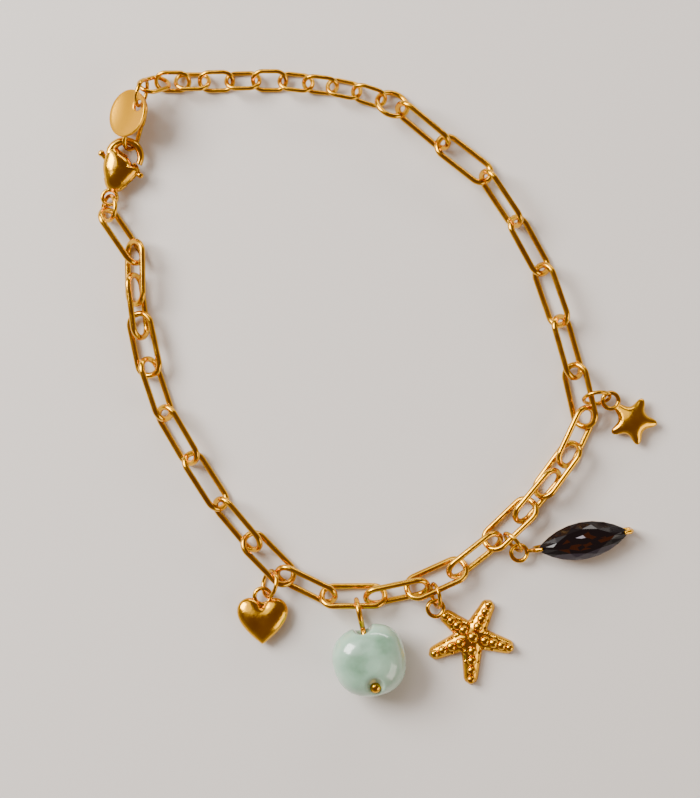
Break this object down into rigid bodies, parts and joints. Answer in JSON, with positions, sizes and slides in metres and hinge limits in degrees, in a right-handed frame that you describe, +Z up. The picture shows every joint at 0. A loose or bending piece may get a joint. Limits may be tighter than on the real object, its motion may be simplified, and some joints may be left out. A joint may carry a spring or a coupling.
{
  "type": "charm bracelet",
  "caption": "Closed gold-toned paperclip-chain bracelet with an extender, a lobster clasp, a bare tag and charms on jump rings, lying flat.",
  "frame": {"origin": "middle of the bracelet's footprint, on the surface it lies on", "axes": "+Z up from the surface; +Y from the charms towards the extender; +X to the side where the star hangs"},
  "size_m": [0.069, 0.0774, 0.0062],
  "materials": {
    "polished_gold": "polished",
    "satin_gold": "satin",
    "green_stone": "polished",
    "dark_stone": "faceted and polished"
  },
  "bodies": {
    "bracelet": {"chain_link_01": "polished_gold", "chain_link_02": "polished_gold", "chain_link_03": "polished_gold", "chain_link_04": "polished_gold", "chain_link_05": "polished_gold", "chain_link_06": "polished_gold", "chain_link_07": "polished_gold", "chain_link_08": "polished_gold", "chain_link_09": "polished_gold", "chain_link_10": "polished_gold", "chain_link_11": "polished_gold", "chain_link_12": "polished_gold", "chain_link_13": "polished_gold", "chain_link_14": "polished_gold", "chain_link_15": "polished_gold", "chain_link_16": "polished_gold", "chain_link_17": "polished_gold", "chain_link_18": "polished_gold", "chain_link_19": "polished_gold", "chain_link_20": "polished_gold", "chain_link_21": "polished_gold", "chain_link_22": "polished_gold", "chain_link_23": "polished_gold", "chain_link_24": "polished_gold", "chain_link_25": "polished_gold", "clasp_body": "polished_gold", "clasp_ring": "polished_gold", "extender_link_01": "polished_gold", "extender_link_02": "polished_gold", "extender_link_03": "polished_gold", "extender_link_04": "polished_gold", "extender_link_05": "polished_gold", "extender_link_06": "polished_gold", "extender_link_07": "polished_gold", "extender_link_08": "polished_gold", "extender_link_09": "polished_gold", "extender_link_10": "polished_gold", "extender_link_11": "polished_gold", "extender_link_12": "polished_gold", "extender_ring": "polished_gold", "headpin": "polished_gold", "heart_charm": "polished_gold", "heart_jump_ring": "polished_gold", "marquise_jump_ring": "polished_gold", "marquise_setting": "polished_gold", "marquise_stone": "dark_stone", "star_charm": "polished_gold", "star_jump_ring": "polished_gold", "starfish_charm": "polished_gold", "starfish_jump_ring": "polished_gold", "stone_nugget": "green_stone", "tag_disc": "satin_gold", "tag_ring": "polished_gold"},
    "lever": {"clasp_lever": "polished_gold"}
  },
  "joints": [
    {"name": "clasp_lever_hinge", "type": "hinge", "parent": "bracelet", "child": "lever", "pos_m": [-0.03163, 0.02554, 0.0014], "axis": [0, 0, 1], "range_deg": [0, 25], "stiffness_Nm_per_rad": 0.002, "springref_deg": -11.46}
  ]
}
